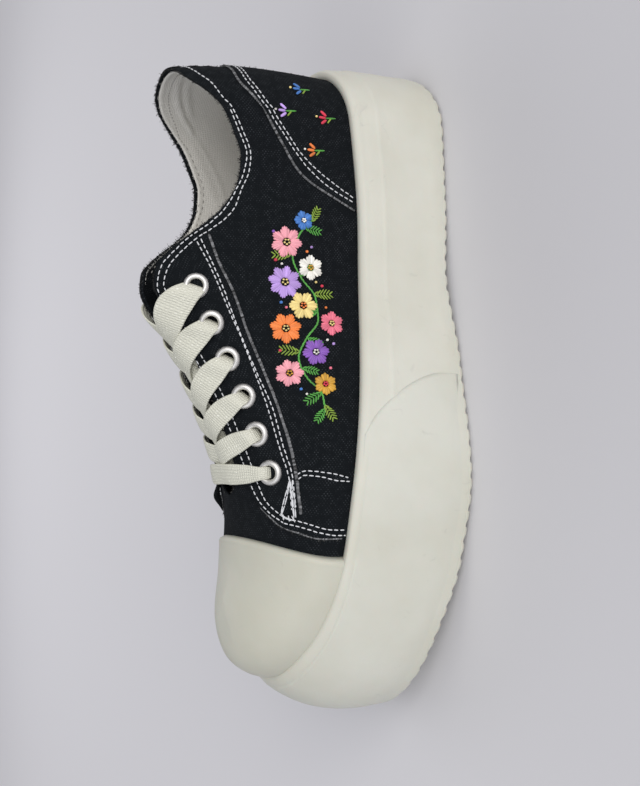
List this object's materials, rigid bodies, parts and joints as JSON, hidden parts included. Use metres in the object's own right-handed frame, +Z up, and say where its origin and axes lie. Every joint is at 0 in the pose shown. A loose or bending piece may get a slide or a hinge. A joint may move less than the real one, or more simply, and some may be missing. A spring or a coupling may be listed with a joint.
{
  "type": "platform sneaker",
  "caption": "Low canvas sneaker for the left foot on a thick rubber platform, with a rubber toe cap and toe bumper, metal eyelets, flat laces and a hollow stitched upper open at the collar",
  "frame": {"origin": "middle of the bounding box in plan, on the floor under the tread", "axes": "+X from heel to toe, +Y to the lateral (outer) side of this left shoe, +Z up"},
  "size_m": [0.2878, 0.1098, 0.1212],
  "materials": {
    "cream_rubber": "matte",
    "black_canvas": "matte plain weave",
    "pale_lining": "matte",
    "nickel": "satin nickel plate",
    "cream_lace": "matte flat weave"
  },
  "bodies": {
    "root": {"eyelet_lateral_1": "nickel", "eyelet_lateral_2": "nickel", "eyelet_lateral_3": "nickel", "eyelet_lateral_4": "nickel", "eyelet_lateral_5": "nickel", "eyelet_lateral_6": "nickel", "eyelet_medial_1": "nickel", "eyelet_medial_2": "nickel", "eyelet_medial_3": "nickel", "eyelet_medial_4": "nickel", "eyelet_medial_5": "nickel", "eyelet_medial_6": "nickel", "eyestay_lateral": "black_canvas", "eyestay_medial": "black_canvas", "heel_counter": "black_canvas", "insole": "pale_lining", "lace_bar": "cream_lace", "lace_crossing_1": "cream_lace", "lace_crossing_2": "cream_lace", "lace_crossing_3": "cream_lace", "lace_crossing_4": "cream_lace", "lace_crossing_5": "cream_lace", "midsole": "cream_rubber", "outsole": "cream_rubber", "toe_bumper": "cream_rubber", "toe_cap": "cream_rubber", "tongue": "black_canvas", "upper": "black_canvas", "vent_1": "nickel", "vent_2": "nickel"}
  },
  "joints": []
}
